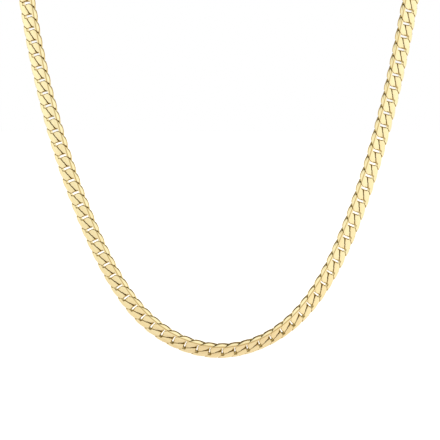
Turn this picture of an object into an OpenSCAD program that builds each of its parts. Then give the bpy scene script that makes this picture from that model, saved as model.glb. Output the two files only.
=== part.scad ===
/* [Links] */
// Width of the chain across its links
link_w = 6.2; // [6.1:0.05:6.3]
// Outside length of one link
link_l = 7.22; // [7.2:0.01:7.24]
// Thickness of the chain between its two cut faces
link_t = 1.8; // [1.6:0.05:2]
// Distance from one link to the next at the lowest one, where they lie slack
slack_pitch = 4.12; // [4.1:0.01:4.2]
// Distance from one link to the next where the chain's own weight draws it tight
taut_pitch = 4.29; // [4.25:0.01:4.3]
// Distance along the chain from the lowest link over which it goes from slack to tight
slack_reach = 75; // [50:5:90]
// Width of the wire at the ends of a link
end_wire_w = 1.26; // [1.2:0.02:1.28]
// Width of the wire at the sides of a link, where it is pressed wider
side_wire_w = 1.6; // [1.3:0.05:1.65]
// Height of the wire before the two faces are cut
wire_h = 1.32; // [1.1:0.02:1.32]
// Width of the flat on each cut face, between its two bevels
flat_w = 4.45; // [4.2:0.05:4.7]
// How far each bevel drops below the cut face at the chain's edge
bevel_drop = 0.5; // [0:0.05:0.6]
// How far the twist of a link lifts and lowers its wire
twist_h = 0.98; // [0.98:0.01:1.1]

/* [Fall of the front] */
// Height of the front, from its lowest link to where the chain turns back
fall_h = 115; // [100:1:125]
// Size of the hanging curve, where a smaller one is more pointed below
curve_size = 20.8; // [20:0.1:22]
// How much wider the curve is than a chain hanging free
curve_spread = 1.172; // [1.1:0.002:1.25]
// How far both strands swell outward low down
low_swell = 1.1; // [0:0.1:1.5]
// How far the left strand swells outward
left_swell = 1.4; // [0:0.05:1.5]
// Height of the left strand's swell above the lowest link
left_swell_h = 91; // [80:1:100]
// Angle by which the front leans back from upright
lean_angle = 6; // [0:1:10]
// How far the links are slid round the loop, toward the wearer's left
slide = 0.6; // [0:0.1:2]

/* [Back of the neck] */
// Distance that the chain goes back, from the top of the front to the nape
back_depth = 36; // [34:1:42]
// Height of the nape above the top of the front
back_rise = 26; // [24:1:28]
// Angle of the chain's face at the nape, up from facing straight back
nape_tilt = 85; // [70:1:100]

/* [Clasp] */
// Length of the clasp over its eye and its nose
clasp_l = 12.6; // [12.4:0.1:13.4]
// Thickness of the clasp's frame
clasp_wire = 1.5; // [1.3:0.1:1.5]
// Thickness of the side of the clasp that holds the spring
clasp_side = 2; // [1.6:0.1:2.2]
// Thickness of the clasp's eye
eye_wire = 1; // [0.8:0.1:1]
// Thickness of a jump ring's wire
ring_wire = 0.8; // [0.6:0.05:0.8]
// Outside width of a jump ring
ring_w = 5.3; // [5.3:0.05:5.4]
// Free length between the clasp and the end link, inside a jump ring
ring_slack = 0.5; // [0.4:0.05:0.5]

/* [Hidden] */
gold = "#E9C97C";
pale_gold = "#EFD796";
$fn = 48;

// Steps round a link, sides of its wire, and samples of the path
link_steps = 12;
wire_sides = 6;
front_samples = 240;
back_samples = 120;

// Height over which the left strand's swell dies away, above it and below it
left_swell_reach = 77;

// Roll of the chain about its own line, outer edge back, by the distance from the lowest link
// columns: distance along the chain, to the right on the picture, and angle
roll_stations = [
    [-136, 31],
    [-110, 31],
    [-94, 28],
    [-78, 27],
    [-28, 28],
    [-7, 35],
    [8, 42],
    [15, 43],
    [22, 40],
    [32, 35],
    [45, 30],
    [57, 27],
    [136, 26],
];

// Closed twisted link
wire_mid_l = (link_l - end_wire_w) / 2;
wire_mid_w = (link_w - side_wire_w) / 2;
wire_side_h = wire_h / 2 / sin(360 / wire_sides);

function unit(v) = v / norm(v);
function turn(v, axis, angle) =
    v * cos(angle) + cross(axis, v) * sin(angle) + axis * (axis * v) * (1 - cos(angle));
function angle_about(axis, from, to) = atan2(axis * cross(from, to), from * to);
function cosh(u) = (exp(u) + exp(-u)) / 2;
function acosh(v) = ln(v + sqrt(v * v - 1));
function limit(v, most) = max(-most, min(most, v));

function wire_w(t) = end_wire_w + (side_wire_w - end_wire_w) * sin(t) * sin(t);
function cut_height(y) =
    link_t / 2 - bevel_drop * max(0, abs(y) - flat_w / 2) / ((link_w - flat_w) / 2);
function link_point(t, w) =
    let (out = unit([cos(t) / wire_mid_l, sin(t) / wire_mid_w]))
    let (reach = wire_w(t) / 2 * cos(w))
    let (x = wire_mid_l * cos(t) + reach * out.x)
    let (y = wire_mid_w * sin(t) + reach * out.y)
    let (rise = -twist_h * sin(2 * t) + wire_side_h * sin(w))
    [x, y, limit(rise, cut_height(y))];
link_points = [
    for (i = [0 : link_steps - 1], j = [0 : wire_sides - 1])
        link_point(360 * i / link_steps, 360 * j / wire_sides)
];
function link_index(i, j) = (i % link_steps) * wire_sides + j % wire_sides;
link_faces = [
    for (i = [0 : link_steps - 1], j = [0 : wire_sides - 1], half = [0, 1])
        half == 0
            ? [link_index(i, j), link_index(i, j + 1), link_index(i + 1, j + 1)]
            : [link_index(i, j), link_index(i + 1, j + 1), link_index(i + 1, j)]
];

// Path of each half, from the lowest point to the nape, with the nape at the origin
// Sides are -1 for the left on the picture and 1 for the right, and their values come in that order
sides = [-1, 1];
function of_side(values, side) = values[side < 0 ? 0 : 1];

lean_slope = tan(lean_angle);
nape_lift = [0, fall_h * lean_slope + back_depth, fall_h + back_rise];
clasp_reach = clasp_l / 2 + ring_slack + link_l / 2;
straight_l = clasp_reach - link_l / 6;

// A smooth hump, 1 high, about a middle
function swell(v, middle, reach) = (1 + cos(180 * limit((v - middle) / reach, 1))) / 2;
// The hanging curve, where u is 0 at the lowest point
function front_point(u, side) =
    let (h = curve_size * (cosh(u) - 1))
    let (low = low_swell * swell(u, 1, 1))
    let (high = side < 0 ? left_swell * swell(h, left_swell_h, left_swell_reach) : 0)
    [side * (curve_spread * curve_size * u + low + high), h * lean_slope, h] - nape_lift;
function curve_point(a, b, c, d, t) =
    a * pow(1 - t, 3) + b * 3 * t * pow(1 - t, 2) + c * 3 * t * t * (1 - t) + d * pow(t, 3);

curve_end = acosh(1 + fall_h / curve_size);
top_bend = 0.95 * back_rise;
nape_bend = 0.65 * back_depth;
function front_line(side) =
    [for (i = [0 : front_samples]) front_point(curve_end * i / front_samples, side)];
function back_line(side, front) =
    let (top = front[front_samples])
    let (top_along = unit(top - front[front_samples - 1]))
    let (nape_side = [side * straight_l, 0, 0])
    [
        for (i = [1 : back_samples])
            curve_point(
                top,
                top + top_along * top_bend,
                nape_side + [side * nape_bend, 0, 0],
                nape_side,
                i / back_samples
            )
    ];
function half_line(side) =
    let (front = front_line(side))
    concat(front, back_line(side, front), [[0, 0, 0]]);
function lengths(line) = [
    for (
        i = 0, s = 0;
        i < len(line);
        s = s + (i + 1 < len(line) ? norm(line[i + 1] - line[i]) : 0), i = i + 1
    ) s
];
half_lines = [for (side = sides) half_line(side)];
half_lengths = [for (line = half_lines) lengths(line)];
half_count = len(half_lines[0]);
front_ends = [for (measured = half_lengths) measured[front_samples]];
half_ends = [for (measured = half_lengths) measured[half_count - 1]];
tables = [
    for (half = [0, 1]) [
        for (axis = [0, 1, 2])
            [for (i = [0 : half_count - 1]) [half_lengths[half][i], half_lines[half][i][axis]]]
    ]
];

// Distances along the chain are positive to the right on the picture
function on_path(s) =
    let (q = min(abs(s), of_side(half_ends, s)))
    [for (table = of_side(tables, s)) lookup(q, table)];
along_step = 0.5;
function along_path(s) = unit(on_path(s + along_step) - on_path(s - along_step));

// Links are placed from the lowest one: slack below, then tight, then shared out up to the clasp
function pitch_at(s) =
    slack_pitch + (taut_pitch - slack_pitch) * min(1, abs(s) / slack_reach);
function front_places(side) =
    [for (s = slide; abs(s) < of_side(front_ends, side); s = s + side * pitch_at(s)) s];
function back_places(side, last) =
    let (end = side * (of_side(half_ends, side) - clasp_reach) + slide)
    let (count = round(abs(end - last) / taut_pitch))
    [for (i = [1 : count]) last + (end - last) * i / count];

// Face of the chain: rolled outward on the front, then turned evenly to lie at the nape
front_face = unit([0, -1, lean_slope]);
nape_face = [0, cos(nape_tilt), sin(nape_tilt)];
function rolled_face(s) =
    let (outward = cross(along_path(s), front_face))
    let (roll = lookup(s, roll_stations))
    front_face * cos(roll) + outward * sin(roll);
function carried(face, along) = unit(face - along * (face * along));
// The turn sets in gently behind the top of the front
turn_power = 1.5;
function back_faces(first_face, places) =
    let (alongs = [for (s = places) along_path(s)])
    let (count = len(places))
    let (
        faces = [
            for (
                i = 0, face = carried(first_face, alongs[0]);
                i < count;
                i = i + 1, face = carried(face, alongs[min(i, count - 1)])
            ) face
        ]
    )
    let (last_along = alongs[count - 1])
    let (rest = angle_about(last_along, faces[count - 1], carried(nape_face, last_along)))
    [
        for (i = [0 : count - 1])
            turn(faces[i], alongs[i], rest * pow((i + 1) / count, turn_power))
    ];

module place(at, along, face) {
    across = cross(face, along);
    multmatrix([
        [along.x, across.x, face.x, at.x],
        [along.y, across.y, face.y, at.y],
        [along.z, across.z, face.z, at.z],
        [0, 0, 0, 1],
    ])
        children();
}

module link() {
    polyhedron(link_points, link_faces);
}

// Links of one half, from the given one up to the clasp
module chain_links(side, first) {
    front = front_places(side);
    front_faces = [for (s = front) rolled_face(s)];
    back = back_places(side, front[len(front) - 1]);
    places = concat(front, back);
    faces = concat(front_faces, back_faces(front_faces[len(front) - 1], back));
    for (i = [first : len(places) - 1])
        place(on_path(places[i]), along_path(places[i]), faces[i])
            link();
}

module chain_left() {
    color(gold)
        chain_links(-1, 1);
}

module chain_right() {
    color(gold)
        chain_links(1, 0);
}

// Clasp and jump rings lie along x about the middle between the two end links
clasp_mid_w = 4.2;
weld = 0.1;
clasp_wire_r = clasp_wire / 2;
eye_r = eye_wire / 2;
eye_mid = 1.25;
nose_x = clasp_l / 2 - clasp_wire_r - clasp_mid_w / 2;
eye_x = -clasp_l / 2 + eye_r + eye_mid;
tail_x = eye_x + eye_mid - eye_r + clasp_wire + clasp_mid_w / 2 - clasp_wire_r - weld;
ring_mid = (ring_w - ring_wire) / 2;
end_wire_x = clasp_reach - link_l / 2 + end_wire_w;
end_ring_x = (clasp_l / 2 - clasp_wire + end_wire_x) / 2;
clasp_ring_x = -(clasp_l / 2 - eye_wire + end_wire_x) / 2;

module at_nape() {
    place([-slide, 0, 0], [1, 0, 0], nape_face)
        children();
}

module wire_ring(mid, wire, angle) {
    rotate_extrude(angle = angle)
        translate([mid, 0])
            circle(d = wire);
}

module side_bar(y, wire) {
    translate([tail_x, y, 0])
        rotate([0, 90, 0])
            cylinder(d = wire, h = nose_x - tail_x);
    for (x = [tail_x, nose_x])
        translate([x, y, 0])
            sphere(d = wire);
}

module clasp() {
    color(pale_gold)
        at_nape() {
            translate([nose_x, 0, 0])
                rotate([0, 0, -90])
                    wire_ring(clasp_mid_w / 2, clasp_wire, 180);
            translate([tail_x, 0, 0])
                rotate([0, 0, 90])
                    wire_ring(clasp_mid_w / 2, clasp_wire, 180);
            side_bar(clasp_mid_w / 2, clasp_side);
            side_bar(-clasp_mid_w / 2, clasp_wire);
            translate([eye_x, 0, 0])
                wire_ring(eye_mid, eye_wire, 360);
        }
}

module jump_ring(x) {
    color(pale_gold)
        at_nape()
            translate([x, 0, 0])
                rotate([90, 0, 0])
                    wire_ring(ring_mid, ring_wire, 360);
}

module clasp_ring() {
    jump_ring(clasp_ring_x);
}

module end_ring() {
    jump_ring(end_ring_x);
}

chain_left();
chain_right();
clasp();
clasp_ring();
end_ring();
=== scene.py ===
"""A flat, bevelled curb chain necklace in polished yellow gold plate, over white paper."""

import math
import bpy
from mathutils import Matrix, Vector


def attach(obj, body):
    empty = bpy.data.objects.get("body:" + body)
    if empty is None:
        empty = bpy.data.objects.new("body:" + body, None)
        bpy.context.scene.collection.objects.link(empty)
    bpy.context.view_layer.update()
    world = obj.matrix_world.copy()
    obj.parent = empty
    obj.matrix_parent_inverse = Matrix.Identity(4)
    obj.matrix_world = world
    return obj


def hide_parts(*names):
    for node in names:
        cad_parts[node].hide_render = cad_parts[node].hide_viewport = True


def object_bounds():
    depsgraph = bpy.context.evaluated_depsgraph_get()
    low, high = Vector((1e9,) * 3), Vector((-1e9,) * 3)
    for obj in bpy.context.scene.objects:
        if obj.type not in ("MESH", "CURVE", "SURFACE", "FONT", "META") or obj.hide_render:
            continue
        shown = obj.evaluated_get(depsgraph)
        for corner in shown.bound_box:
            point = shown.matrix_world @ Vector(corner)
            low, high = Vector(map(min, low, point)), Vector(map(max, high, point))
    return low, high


bl_info = {
    "name": "Curb Chain Necklace",
    "version": (1, 0, 0),
    "blender": (4, 5, 0),
    "location": "View3D > Sidebar > Necklace",
    "description": "Cut curb links, polished clasp and a white studio",
    "category": "Add Mesh",
}

import bmesh
import bpy
import numpy as np
from bpy.props import FloatProperty, FloatVectorProperty, IntProperty, PointerProperty
from bpy.types import Operator, Panel, PropertyGroup
from mathutils import Matrix, Vector

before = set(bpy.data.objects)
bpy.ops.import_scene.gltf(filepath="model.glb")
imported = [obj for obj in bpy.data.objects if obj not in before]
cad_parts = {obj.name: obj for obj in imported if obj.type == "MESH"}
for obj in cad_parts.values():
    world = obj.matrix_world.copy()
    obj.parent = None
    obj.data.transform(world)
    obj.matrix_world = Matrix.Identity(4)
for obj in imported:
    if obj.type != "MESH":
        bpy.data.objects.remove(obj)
CAD_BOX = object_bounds()

MM = 0.001
CHAIN_NODES = ("chain_left", "chain_right")
FINDINGS = ("clasp", "clasp_ring", "end_ring")

# A quarter of a pressed link, in millimetres from its middle, as sections of its wire.
# Columns: x and y of the inner edge, x and y of the outer edge, and the height of the front,
# which stands past the face, or behind the middle where the next link crosses over
LINK_SECTIONS = (
    (2.18, 0.00, 4.02, 0.00, 1.0),
    (2.18, 0.00, 4.02, 0.50, 1.0),
    (2.14, 0.14, 4.01, 0.70, -0.1),
    (1.60, 0.38, 3.97, 1.10, -0.1),
    (1.06, 0.64, 3.87, 1.44, -0.1),
    (0.68, 0.88, 3.58, 1.78, -0.1),
    (0.54, 1.20, 3.18, 2.08, -0.1),
    (0.50, 1.42, 2.74, 2.34, -0.1),
    (0.44, 1.50, 2.20, 2.56, -0.1),
    (0.30, 1.50, 1.34, 2.90, 1.0),
    (0.15, 1.47, 0.68, 3.06, 1.0),
    (0.00, 1.46, 0.00, 3.10, 1.0),
)
TABLE_LENGTH = 8.04 * MM
TABLE_WIDTH = 6.2 * MM
# How far the wire stands out past the faces before they are cut
CUT_SPARE = 0.1 * MM
# How far the bar that cuts the faces stands out past the wire's sides
SIDE_SPARE = 0.5 * MM
# How far the rounding of a wire's inner and outer edge reaches in from it
INNER_ROUNDING = 0.25 * MM
OUTER_ROUNDING = 0.7 * MM
# Steps in the rounding between flat and bevel, and across half a flat
RIDGE_STEPS = 5
CROWN_STEPS = 6
# Points of a cut link closer than this become one before its lips are rounded
WELD = 0.02 * MM
# Least angle in degrees between the faces at a lip, and at an edge that is shaded sharp
LIP_ANGLE = 35
SHARP_ANGLE = 18

# A point less deep than the first belongs to the cut faces, and from the second on a wall has all
# of its painted shade
FACE_DEPTH = 0.025 * MM
WALL_DEPTH = 0.1 * MM
WALL_SHADE = 0.15
# Share of painted shade by depth below the cut faces, darkest just under their rounded lips
LIP_DEPTHS = (0, FACE_DEPTH, WALL_DEPTH, 0.25 * MM)
LIP_SHARES = (0, 0.55, 0.35, 0.15)
# Across the chain, the lips' painted shade ends and the painted shade of the sides begins between
# these
CHAIN_SIDE = (2.5 * MM, 2.75 * MM)
# Painted shade of the chain's sides, its share by depth, and the distances from a link's middle
# between which it fades out along the link
SIDE_SHADE = 0.95
SIDE_DEPTHS = (0.05 * MM, 0.15 * MM)
SIDE_SHADE_FADE = (1.0 * MM, 1.8 * MM)
# Painted shade in a thin line along the inner ridge, which falls from this share in its middle to
# none where its rounding ends, and the most of it that is kept
RIDGE_SHADE = 1.4
RIDGE_SHADE_MOST = 0.8
# Lowest tone of a link between the two golds, and the range above it
LOWEST_TONE = 0.3
TONE_RANGE = 0.4
# How far round a point a gap is looked for, and the shares of open air there between which the
# gold goes from painted shade to its own colour. The first is below zero, so a closed gap isn't
# all shade
GAP_REACH = 0.8 * MM
SHADED_SHARE = -0.8
UNSHADED_SHARE = 0.65

# Points of a CAD node closer than this are one
SAME_POINT = 0.001 * MM
# A point inside the hanging loop, towards which the inner edge of each link lies
LOOP_MIDDLE = (0, -0.025, -0.07)
# The middle of the lowest link
LOWEST_LINK = (0, -0.0482, -0.141)

# The picture's side in pixels, and its scale on the front of the chain
PICTURE_SIDE = 440
PIXELS_PER_MM = 3.047
# Row and column of the picture on which the lowest link's middle stands
LOWEST_ROW = 350.7
MIDDLE_COLUMN = 220.4
# The camera's sensor, in millimetres
SENSOR_WIDTH = 36

# The paper floor's depth below the chain, and half of its side
FLOOR_DROP = 0.12
FLOOR_REACH = 3
# Light of the tent by height in degrees, as strength and share of green and of blue in it
TENT_HEIGHTS = (
    (-90, 0.96, 0.92, 0.88),
    (-76, 0.92, 0.9, 0.85),
    (-60, 0.86, 0.88, 0.82),
    (-44, 0.96, 0.92, 0.87),
    (-20, 0.99, 0.95, 0.92),
    (-8, 1.0, 0.98, 0.97),
    (4, 1.03, 1.0, 1.0),
    (20, 1.03, 1.0, 1.0),
    (28, 0.6, 0.97, 0.9),
    (38, 0.2, 0.9, 0.75),
    (50, 0.15, 0.85, 0.6),
    (66, 0.45, 0.88, 0.7),
    (90, 0.5, 0.88, 0.7),
)
# Strength from the left side to the right one, by the sine of the angle from the middle
TENT_SIDES = ((-1, 1.25), (-0.92, 1.16), (-0.84, 1.03), (-0.5, 1.04), (0, 1.08), (1, 1.18))
# Share of that strength by the angle from the camera, beside which a small lamp stands
TENT_FRONT = ((0, 1.1), (8, 1.06), (20, 0.97), (32, 1.0))


def to_linear(colour):
    """Turns an sRGB hex colour such as "#F6E3A4" into linear red, green and blue."""
    values = [int(colour[i : i + 2], 16) / 255 for i in (1, 3, 5)]
    return tuple(v / 12.92 if v <= 0.04045 else ((v + 0.055) / 1.055) ** 2.4 for v in values)


def colour_property(name, description, colour):
    return FloatVectorProperty(
        name=name,
        description=description,
        subtype="COLOR",
        size=3,
        min=0,
        max=1,
        default=to_linear(colour),
    )


def length_property(name, description, millimetres):
    return FloatProperty(
        name=name,
        description=description,
        unit="LENGTH",
        precision=5,
        min=0,
        default=millimetres * MM,
    )


class LinkSettings(PropertyGroup):
    """Sizes of one curb link."""

    length: length_property("Length", "Outside length of a link", 8.04)
    width: length_property("Width", "Width of the chain across its links", 6.2)
    thickness: length_property("Thickness", "Distance between the two cut faces", 1.8)
    flat_width: length_property("Flat width", "Width of each face between its bevels", 4.45)
    crown: length_property("Crown", "Height by which buffing leaves a flat's middle proud", 0.09)
    bevel_drop: length_property("Bevel drop", "Drop of a bevel at the chain's edge", 0.5)
    ridge_softness: length_property(
        "Ridge softness", "Half width of the rounding between flat and bevel", 0.2
    )
    lip: length_property("Lip", "Rounding where the cut faces meet the wire's sides", 0.1)
    steps_between: IntProperty(
        name="Steps between",
        description="Steps from a section to the next",
        default=1,
        min=1,
        max=6,
    )
    wire_sides: IntProperty(
        name="Wire sides", description="Points round a section", default=20, min=8, max=32
    )


class GoldSettings(PropertyGroup):
    """Colours and polish of the gold plate."""

    light_gold: colour_property("Light gold", "Gold plate where it is thickest", "#F8EFC1")
    warm_gold: colour_property("Warm gold", "Gold plate where it leans to red", "#F2DFA8")
    # Colour of the painted shade in the gaps between links and below the cut faces
    gap_shade_colour: colour_property("Painted_gap_shade", "Dull film in the gaps between links", "#AC8A42")
    cut_roughness: FloatProperty(
        name="Cut roughness", description="Roughness of the cut faces", default=0.16, min=0, max=1
    )
    tumbled_roughness: FloatProperty(
        name="Tumbled roughness",
        description="Roughness of the clasp and rings",
        default=0.2,
        min=0,
        max=1,
    )


class StudioSettings(PropertyGroup):
    """Camera distance and light of the studio."""

    camera_distance: length_property("Camera distance", "From the chain's front", 700)
    camera_tilt: FloatProperty(
        name="Camera tilt",
        description="Angle by which the camera looks down, square onto the leaning front",
        subtype="ANGLE",
        default=math.radians(6),
    )
    ground: colour_property("Ground", "Seamless paper", "#FAF9F6")
    ground_glow: FloatProperty(
        name="Ground glow", description="Light that comes through the paper", default=0.85, min=0
    )
    front_light: FloatProperty(
        name="Front light", description="Brightness of the soft light", default=1.0, min=0
    )


def quarter_sections(links):
    """Rows of LINK_SECTIONS at the link's own size, with more rows between them."""
    table = np.array(LINK_SECTIONS) * MM
    table *= (links.length / TABLE_LENGTH, links.width / TABLE_WIDTH) * 2 + (1,)
    steps = np.linspace(0, len(table) - 1, links.steps_between * (len(table) - 1) + 1)
    return np.array([np.interp(steps, range(len(table)), column) for column in table.T]).T


def section_points(row, links):
    """One closed section: flat in front and behind, with a rounded inner and outer edge."""
    inner, outer = Vector(row[0:2]), Vector(row[2:4])
    back, front = -links.thickness / 2 - CUT_SPARE, row[4]
    along = (outer - inner).normalized()
    points = []
    for side in range(links.wire_sides):
        turn = 2 * math.pi * (side + 0.5) / links.wire_sides
        across, up = math.cos(turn), math.sin(turn)
        if across > 0:
            plan = outer - along * OUTER_ROUNDING * (1 - across)
        else:
            plan = inner + along * INNER_ROUNDING * (1 + across)
        points.append(Vector((plan.x, plan.y, (front + back + (front - back) * up) / 2)))
    return points


def pressed_wire(links):
    """A closed wire with broad sides, which lies in front in two quarters and behind in two."""
    quarter = [section_points(row, links) for row in quarter_sections(links)]
    # Half turns about the link's width, face and length give its other quarters
    over_width = Matrix.Diagonal((-1, 1, -1))
    over_face = Matrix.Diagonal((-1, -1, 1))
    over_length = Matrix.Diagonal((1, -1, -1))
    mirrored = [section[::-1] for section in quarter[::-1]]
    loops = quarter[:-1]
    loops += [[over_width @ point for point in section] for section in mirrored[:-1]]
    loops += [[over_face @ point for point in section] for section in quarter[:-1]]
    loops += [[over_length @ point for point in section] for section in mirrored[:-1]]
    mesh = bmesh.new()
    rings = [[mesh.verts.new(point) for point in section] for section in loops]
    for step, ring in enumerate(rings):
        following = rings[(step + 1) % len(rings)]
        for side in range(links.wire_sides):
            other = (side + 1) % links.wire_sides
            mesh.faces.new((ring[side], following[side], following[other], ring[other]))
    bmesh.ops.recalc_face_normals(mesh, faces=mesh.faces)
    return mesh


def bar_outline(links):
    """Half of the bar's outline above the middle, from one edge to the other, as y and z."""
    half = links.thickness / 2
    flat = links.flat_width / 2
    slope = links.bevel_drop / (links.width / 2 - flat)
    reach = links.width / 2 + SIDE_SPARE
    soft = links.ridge_softness
    outline = [(reach, slope * (reach - flat))]
    # A parabola between flat and bevel, which meets both of them smoothly
    for step in range(RIDGE_STEPS + 1):
        share = 1 - step / RIDGE_STEPS
        outline.append((flat - soft + 2 * soft * share, slope * soft * share * share))
    outline += [((flat - soft) * (1 - step / CROWN_STEPS), 0) for step in range(1, CROWN_STEPS)]
    outline = [(y, half - drop - links.crown * (min(y, flat) / flat) ** 2) for y, drop in outline]
    return outline + [(0, half)] + [(-y, z) for y, z in reversed(outline)]


def cutting_bar(links):
    """The straight bevelled bar inside which a cut chain lies."""
    upper = bar_outline(links)
    outline = upper + [(y, -z) for y, z in reversed(upper)]
    mesh = bmesh.new()
    rows = [
        [mesh.verts.new((end * links.length, y, z)) for y, z in outline] for end in (-1, 1)
    ]
    for i in range(len(outline)):
        j = (i + 1) % len(outline)
        mesh.faces.new((rows[0][i], rows[0][j], rows[1][j], rows[1][i]))
    mesh.faces.new(rows[0][::-1])
    mesh.faces.new(rows[1])
    bmesh.ops.recalc_face_normals(mesh, faces=mesh.faces)
    return mesh


def mesh_object(name, mesh):
    data = bpy.data.meshes.new(name)
    mesh.to_mesh(data)
    mesh.free()
    piece = bpy.data.objects.new(name, data)
    bpy.context.scene.collection.objects.link(piece)
    return piece


def round_lips(link, links):
    """Rounds the edges where the cut faces meet the wire's sides, as buffing does."""
    mesh = bmesh.new()
    mesh.from_mesh(link)
    bmesh.ops.remove_doubles(mesh, verts=mesh.verts, dist=WELD)
    lips = [
        edge
        for edge in mesh.edges
        if edge.is_manifold and edge.calc_face_angle() > math.radians(LIP_ANGLE)
    ]
    bmesh.ops.bevel(
        mesh,
        geom=lips,
        offset=links.lip,
        offset_type="OFFSET",
        segments=2,
        profile=0.5,
        affect="EDGES",
        clamp_overlap=False,
    )
    mesh.to_mesh(link)
    mesh.free()


def cut_link(links):
    """The mesh of one finished link: twisted wire, cut flat and bevelled on both faces."""
    wire = mesh_object("wire", pressed_wire(links))
    bar = mesh_object("bar", cutting_bar(links))
    cut = wire.modifiers.new("cut", "BOOLEAN")
    cut.operation = "INTERSECT"
    cut.solver = "EXACT"
    cut.object = bar
    evaluated = wire.evaluated_get(bpy.context.evaluated_depsgraph_get())
    finished = bpy.data.meshes.new_from_object(evaluated)
    for piece in (wire, bar):
        bpy.data.objects.remove(piece)
    if not finished.polygons:
        raise RuntimeError("the cut left nothing of the link")
    round_lips(finished, links)
    return finished


def loose_parts(node):
    """The triangles of each loose part of a CAD node, as an array of corner points."""
    mesh = bmesh.new()
    mesh.from_mesh(node.data)
    bmesh.ops.remove_doubles(mesh, verts=mesh.verts, dist=SAME_POINT)
    bmesh.ops.triangulate(mesh, faces=mesh.faces)
    seen = set()
    parts = []
    # Points are taken in their own order, so that every run gives the parts in the same order
    for first in mesh.verts:
        if first in seen:
            continue
        seen.add(first)
        front = [first]
        faces = {}
        while front:
            vertex = front.pop()
            faces.update(dict.fromkeys(vertex.link_faces))
            for edge in vertex.link_edges:
                other = edge.other_vert(vertex)
                if other not in seen:
                    seen.add(other)
                    front.append(other)
        parts.append(np.array([[corner.co[:] for corner in face.verts] for face in faces]))
    mesh.free()
    return parts


def link_place(triangles):
    """Where a link lies: its middle, with its length, its width to the inside and its face."""
    edges = triangles[:, 1:] - triangles[:, :1]
    areas = np.linalg.norm(np.cross(edges[:, 0], edges[:, 1]), axis=1)
    centres = triangles.mean(axis=1)
    middle = np.average(centres, axis=0, weights=areas)
    corners = triangles - middle
    centres = centres - middle
    # Second moments of flat triangles: each corner counts once, and the centre nine times
    spread = np.einsum("t,tci,tcj->ij", areas, corners, corners)
    spread += 9 * np.einsum("t,ti,tj->ij", areas, centres, centres)
    axes = np.linalg.eigh(spread)[1]
    length, width = Vector(axes[:, 2]), Vector(axes[:, 1])
    if width.dot(Vector(LOOP_MIDDLE) - Vector(middle)) < 0:
        length, width = -length, -width
    face = length.cross(width)
    place = Matrix((length, width, face)).transposed().to_4x4()
    place.translation = Vector(middle)
    return place


def painted_shade_shares(link, links):
    """How much painted shade lies on each point of a cut link, from 0 to 1."""
    half_outline = sorted((y, z) for y, z in bar_outline(links) if y >= 0)
    across, heights = zip(*half_outline)
    shares = []
    for vertex in link.vertices:
        below = np.interp(abs(vertex.co.y), across, heights) - abs(vertex.co.z)
        lip = np.interp(below, LIP_DEPTHS, LIP_SHARES)
        lip *= np.interp(abs(vertex.co.y), CHAIN_SIDE, (1, 0))
        wall = WALL_SHADE * np.interp(below, (0, WALL_DEPTH), (0, 1))
        side = SIDE_SHADE * np.interp(below, SIDE_DEPTHS, (0, 1))
        side *= np.interp(abs(vertex.co.x), SIDE_SHADE_FADE, (1, 0))
        side *= np.interp(abs(vertex.co.y), CHAIN_SIDE, (0, 1))
        off = abs(vertex.co.y - links.flat_width / 2) / links.ridge_softness
        ridge = min(RIDGE_SHADE_MOST, max(0.0, RIDGE_SHADE - RIDGE_SHADE * off))
        if below >= FACE_DEPTH:
            ridge = 0.0
        shares.append(float(max(lip, wall, side, ridge)))
    return shares


def chain_piece(name, link, painted_shade, places):
    """One mesh of all the links of a chain node, each with a tone of its own."""
    random = np.random.default_rng(len(places))
    mesh = bmesh.new()
    tones = []
    painted_shades = []
    for place in places:
        before = len(mesh.verts)
        mesh.from_mesh(link)
        mesh.verts.ensure_lookup_table()
        added = mesh.verts[before:]
        bmesh.ops.transform(mesh, matrix=place, verts=added)
        tones += [LOWEST_TONE + TONE_RANGE * random.random()] * len(added)
        painted_shades += painted_shade
    piece = mesh_object(name, mesh)
    # Each point keeps its link's tone and its share of painted shade
    for attribute, values in (("link_tone", tones), ("painted_shade", painted_shades)):
        stored = piece.data.attributes.new(attribute, "FLOAT", "POINT")
        stored.data.foreach_set("value", values)
    piece.data.polygons.foreach_set("use_smooth", [True] * len(piece.data.polygons))
    piece.data.set_sharp_from_angle(angle=math.radians(SHARP_ANGLE))
    return piece


def add_node(tree, kind, inputs=None, **settings):
    """Adds a node. inputs gives each socket its value, or the output that it is linked to."""
    node = tree.nodes.new(kind)
    for name, value in settings.items():
        setattr(node, name, value)
    for socket, value in (inputs or {}).items():
        if isinstance(value, bpy.types.NodeSocket):
            tree.links.new(value, node.inputs[socket])
        else:
            node.inputs[socket].default_value = value
    return node


def empty_material(name):
    material = bpy.data.materials.new(name)
    material.use_nodes = True
    material.node_tree.nodes.clear()
    return material


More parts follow.
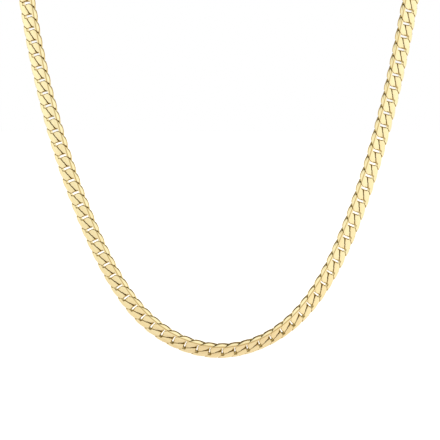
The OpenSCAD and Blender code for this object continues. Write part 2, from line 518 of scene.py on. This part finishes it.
def diamond_cut_gold_plate(gold):
    """Gold plate on cut links: mirror flats with a faint ripple and the cutter's fine lines."""
    material = empty_material("diamond_cut_gold_plate")
    tree = material.node_tree
    place = add_node(tree, "ShaderNodeTexCoord").outputs["Object"]
    tone = add_node(tree, "ShaderNodeAttribute", attribute_name="link_tone").outputs["Fac"]
    # Share of painted shade stored on each point
    painted_shade = add_node(tree, "ShaderNodeAttribute", attribute_name="painted_shade").outputs["Fac"]
    # Ripple of about 2 mm: no polished flat is perfectly plane, so its reflection wanders
    ripple = add_node(
        tree,
        "ShaderNodeTexNoise",
        {"Vector": place, "Scale": 1 / (2.0 * MM), "Detail": 2.0, "Roughness": 0.5},
    )
    # Cutter lines of about 0.25 mm, coarser than real ones so that they show
    cutter = add_node(
        tree,
        "ShaderNodeTexNoise",
        {"Vector": place, "Scale": 1 / (0.25 * MM), "Detail": 3.0, "Roughness": 0.6},
    )
    shade = add_node(
        tree,
        "ShaderNodeMath",
        {0: ripple.outputs["Fac"], 1: 0.6, 2: tone},
        operation="MULTIPLY_ADD",
    )
    amount = add_node(
        tree,
        "ShaderNodeMapRange",
        {"Value": shade.outputs[0], "From Min": 0.2, "From Max": 1.4},
    )
    colour = add_node(
        tree,
        "ShaderNodeMix",
        {
            "Factor": amount.outputs[0],
            "A": (*gold.light_gold, 1),
            "B": (*gold.warm_gold, 1),
        },
        data_type="RGBA",
    )
    roughness = add_node(
        tree,
        "ShaderNodeMapRange",
        {
            "Value": cutter.outputs["Fac"],
            "From Min": 0.3,
            "From Max": 0.7,
            "To Min": gold.cut_roughness * 0.75,
            "To Max": gold.cut_roughness * 1.25,
        },
    )
    waves = add_node(
        tree,
        "ShaderNodeBump",
        {"Height": ripple.outputs["Fac"], "Strength": 0.35, "Distance": 0.03 * MM},
    )
    lines = add_node(
        tree,
        "ShaderNodeBump",
        {
            "Height": cutter.outputs["Fac"],
            "Strength": 0.25,
            "Distance": 0.004 * MM,
            "Normal": waves.outputs[0],
        },
    )
    # Painted shade: where little open air is round a point, in the gaps between links, the gold is
    # mixed towards the shade colour
    reach = add_node(
        tree,
        "ShaderNodeAmbientOcclusion",
        {"Distance": GAP_REACH},
        samples=8,
    )
    ao_unshaded = add_node(
        tree,
        "ShaderNodeMapRange",
        {
            "Value": reach.outputs["AO"],
            "From Min": SHADED_SHARE,
            "From Max": UNSHADED_SHARE,
        },
        interpolation_type="SMOOTHSTEP",
    )
    # Below the cut faces, along the chain's sides and along the inner ridge, the painted shade
    # stored on the points darkens it too
    unpainted = add_node(tree, "ShaderNodeMath", {0: 1.0, 1: painted_shade}, operation="SUBTRACT")
    gold_share = add_node(
        tree, "ShaderNodeMath", {0: ao_unshaded.outputs[0], 1: unpainted.outputs[0]}, operation="MULTIPLY"
    )
    shaded_gold = add_node(
        tree,
        "ShaderNodeMix",
        {
            "Factor": gold_share.outputs[0],
            "A": (*gold.gap_shade_colour, 1),
            "B": colour.outputs["Result"],
        },
        data_type="RGBA",
    )
    shader = add_node(
        tree,
        "ShaderNodeBsdfPrincipled",
        {
            "Base Color": shaded_gold.outputs["Result"],
            "Metallic": 1.0,
            "Roughness": roughness.outputs[0],
            "Normal": lines.outputs[0],
        },
    )
    add_node(tree, "ShaderNodeOutputMaterial", {"Surface": shader.outputs[0]})
    return material


def tumbled_gold_plate(gold):
    """Gold plate on cast findings: tumbled bright, so soft at every edge and a little scuffed."""
    material = empty_material("tumbled_gold_plate")
    tree = material.node_tree
    place = add_node(tree, "ShaderNodeTexCoord").outputs["Object"]
    # Scuffs of about 0.6 mm from handling
    scuffs = add_node(
        tree,
        "ShaderNodeTexNoise",
        {"Vector": place, "Scale": 1 / (0.6 * MM), "Detail": 4.0, "Roughness": 0.65},
    )
    colour = add_node(
        tree,
        "ShaderNodeMix",
        {
            "Factor": scuffs.outputs["Fac"],
            "A": (*gold.light_gold, 1),
            "B": (*gold.warm_gold, 1),
        },
        data_type="RGBA",
    )
    roughness = add_node(
        tree,
        "ShaderNodeMapRange",
        {
            "Value": scuffs.outputs["Fac"],
            "From Min": 0.35,
            "From Max": 0.7,
            "To Min": gold.tumbled_roughness * 0.7,
            "To Max": gold.tumbled_roughness * 1.4,
        },
    )
    dents = add_node(
        tree,
        "ShaderNodeBump",
        {"Height": scuffs.outputs["Fac"], "Strength": 0.2, "Distance": 0.01 * MM},
    )
    shader = add_node(
        tree,
        "ShaderNodeBsdfPrincipled",
        {
            "Base Color": colour.outputs["Result"],
            "Metallic": 1.0,
            "Roughness": roughness.outputs[0],
            "Normal": dents.outputs[0],
        },
    )
    add_node(tree, "ShaderNodeOutputMaterial", {"Surface": shader.outputs[0]})
    return material


def seamless_paper(studio):
    """Matt white paper lit from behind as well, so that it shows no shadow and no grain."""
    material = empty_material("seamless_paper")
    shader = add_node(
        material.node_tree,
        "ShaderNodeBsdfPrincipled",
        {
            "Base Color": (*studio.ground, 1),
            "Roughness": 1.0,
            "Specular IOR Level": 0.0,
            "Emission Color": (*studio.ground, 1),
            "Emission Strength": studio.ground_glow,
        },
    )
    add_node(material.node_tree, "ShaderNodeOutputMaterial", {"Surface": shader.outputs[0]})
    return material


def paper_sweep():
    """The floor, below the hanging chain."""
    floor = CAD_BOX[0][2] - FLOOR_DROP
    mesh = bmesh.new()
    corners = [(-1, -1), (1, -1), (1, 1), (-1, 1)]
    mesh.faces.new([mesh.verts.new((x * FLOOR_REACH, y * FLOOR_REACH, floor)) for x, y in corners])
    return mesh_object("paper_floor", mesh)


def shape_ramp(ramp, stops):
    """Gives a colour ramp its stops, which are pairs of a place and a colour."""
    stops = sorted(stops)
    while len(ramp.elements) < len(stops):
        ramp.elements.new(1.0)
    for element, (place, colour) in zip(ramp.elements, stops):
        element.position = place
        element.color = (*colour, 1)


def light_the_world(studio):
    """A white cloth tent lit from outside, open above, with a small lamp beside the camera."""
    world = bpy.data.worlds.new("light_tent")
    bpy.context.scene.world = world
    world.use_nodes = True
    tree = world.node_tree
    tree.nodes.clear()
    direction = add_node(tree, "ShaderNodeTexCoord").outputs["Generated"]
    parts = add_node(tree, "ShaderNodeSeparateXYZ", {0: direction})
    height = add_node(
        tree,
        "ShaderNodeMapRange",
        {"Value": parts.outputs["Z"], "From Min": -1.0, "From Max": 1.0},
    )
    cloth = add_node(tree, "ShaderNodeValToRGB", {"Fac": height.outputs[0]})
    stops = []
    for angle, strength, green, blue in TENT_HEIGHTS:
        place = (1 + math.sin(math.radians(angle))) / 2
        stops.append((place, (strength, strength * green, strength * blue)))
    shape_ramp(cloth.color_ramp, stops)
    tilt = studio.camera_tilt
    toward = add_node(
        tree,
        "ShaderNodeVectorMath",
        {0: direction, 1: (0, -math.cos(tilt), math.sin(tilt))},
        operation="DOT_PRODUCT",
    )
    front = add_node(tree, "ShaderNodeValToRGB", {"Fac": toward.outputs["Value"]})
    stops = [(math.cos(math.radians(angle)), (share,) * 3) for angle, share in TENT_FRONT]
    shape_ramp(front.color_ramp, stops)
    # The lamps at both sides are stronger than the cloth in front
    across = add_node(
        tree,
        "ShaderNodeMapRange",
        {"Value": parts.outputs["X"], "From Min": -1.0, "From Max": 1.0},
    )
    sides = add_node(tree, "ShaderNodeValToRGB", {"Fac": across.outputs[0]})
    strongest = max(strength for sine, strength in TENT_SIDES)
    stops = [((1 + sine) / 2, (share / strongest,) * 3) for sine, share in TENT_SIDES]
    shape_ramp(sides.color_ramp, stops)
    lamps = add_node(
        tree,
        "ShaderNodeMath",
        {0: sides.outputs["Color"], 1: strongest * studio.front_light},
        operation="MULTIPLY",
    )
    power = add_node(
        tree,
        "ShaderNodeMath",
        {0: lamps.outputs[0], 1: front.outputs["Color"]},
        operation="MULTIPLY",
    )
    tent = add_node(
        tree,
        "ShaderNodeBackground",
        {"Color": cloth.outputs["Color"], "Strength": power.outputs[0]},
    )
    behind = add_node(
        tree, "ShaderNodeBackground", {"Color": (1, 1, 1, 1), "Strength": 1.0}
    )
    seen = add_node(tree, "ShaderNodeLightPath").outputs["Is Camera Ray"]
    mixed = add_node(
        tree, "ShaderNodeMixShader", {0: seen, 1: tent.outputs[0], 2: behind.outputs[0]}
    )
    add_node(tree, "ShaderNodeOutputWorld", {"Surface": mixed.outputs[0]})


def add_camera(studio):
    """The camera, square onto the leaning front, with the lowest link on its own row."""
    data = bpy.data.cameras.new("camera")
    camera = bpy.data.objects.new("camera", data)
    bpy.context.scene.collection.objects.link(camera)
    tilt = studio.camera_tilt
    away = Vector((0, -math.cos(tilt), math.sin(tilt)))
    up = Vector((0, math.sin(tilt), math.cos(tilt)))
    rise = (LOWEST_ROW - PICTURE_SIDE / 2) / PIXELS_PER_MM * MM
    shift = (PICTURE_SIDE / 2 - MIDDLE_COLUMN) / PIXELS_PER_MM * MM
    aim = Vector(LOWEST_LINK) + up * rise + Vector((shift, 0, 0))
    camera.location = aim + away * studio.camera_distance
    camera.rotation_euler = (math.pi / 2 - tilt, 0, 0)
    data.sensor_width = SENSOR_WIDTH
    width = PICTURE_SIDE / PIXELS_PER_MM * MM
    data.lens = data.sensor_width * studio.camera_distance / width
    data.dof.use_dof = False
    bpy.context.scene.camera = camera


class NECKLACE_OT_cut_links(Operator):
    """Put a finished curb link in the place of each link of the chain"""

    bl_idname = "necklace.cut_links"
    bl_label = "Cut Links"

    def execute(self, context):
        links = context.scene.necklace_links
        link = cut_link(links)
        # Share of painted shade on each point of the link
        painted_shade = painted_shade_shares(link, links)
        gold = diamond_cut_gold_plate(context.scene.necklace_gold)
        for node in CHAIN_NODES:
            places = [link_place(part) for part in loose_parts(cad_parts[node])]
            piece = chain_piece(node + "_links", link, painted_shade, places)
            piece.data.materials.append(gold)
            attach(piece, "root")
            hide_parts(node)
        return {"FINISHED"}


class NECKLACE_OT_polish_findings(Operator):
    """Give the clasp and its rings their tumbled gold plate"""

    bl_idname = "necklace.polish_findings"
    bl_label = "Polish Findings"

    def execute(self, context):
        gold = tumbled_gold_plate(context.scene.necklace_gold)
        for node in FINDINGS:
            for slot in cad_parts[node].material_slots:
                slot.material = gold
        return {"FINISHED"}


class NECKLACE_OT_set_stage(Operator):
    """Lay the paper floor, light the tent and aim the camera"""

    bl_idname = "necklace.set_stage"
    bl_label = "Set Stage"

    def execute(self, context):
        studio = context.scene.necklace_studio
        floor = paper_sweep()
        floor.data.materials.append(seamless_paper(studio))
        # The gold mirrors the tent, which goes on below the paper's level
        floor.visible_glossy = False
        light_the_world(studio)
        add_camera(studio)
        context.scene.view_settings.view_transform = "Standard"
        return {"FINISHED"}


class NECKLACE_PT_panel(Panel):
    """Lists the necklace's pieces and its studio"""

    bl_idname = "NECKLACE_PT_panel"
    bl_label = "Curb Chain Necklace"
    bl_space_type = "VIEW_3D"
    bl_region_type = "UI"
    bl_category = "Necklace"

    def draw(self, context):
        layout = self.layout
        for group, operator in (
            ("necklace_links", NECKLACE_OT_cut_links),
            ("necklace_gold", NECKLACE_OT_polish_findings),
            ("necklace_studio", NECKLACE_OT_set_stage),
        ):
            box = layout.box()
            settings = getattr(context.scene, group)
            for name in settings.__annotations__:
                box.prop(settings, name)
            box.operator(operator.bl_idname)


CLASSES = (
    LinkSettings,
    GoldSettings,
    StudioSettings,
    NECKLACE_OT_cut_links,
    NECKLACE_OT_polish_findings,
    NECKLACE_OT_set_stage,
    NECKLACE_PT_panel,
)
SETTINGS = {
    "necklace_links": LinkSettings,
    "necklace_gold": GoldSettings,
    "necklace_studio": StudioSettings,
}


def register():
    for item in CLASSES:
        bpy.utils.register_class(item)
    for name, group in SETTINGS.items():
        setattr(bpy.types.Scene, name, PointerProperty(type=group))


def unregister():
    for name in SETTINGS:
        delattr(bpy.types.Scene, name)
    for item in reversed(CLASSES):
        bpy.utils.unregister_class(item)


def main():
    register()
    bpy.ops.necklace.cut_links()
    bpy.ops.necklace.polish_findings()
    bpy.ops.necklace.set_stage()


if __name__ == "__main__":
    main()
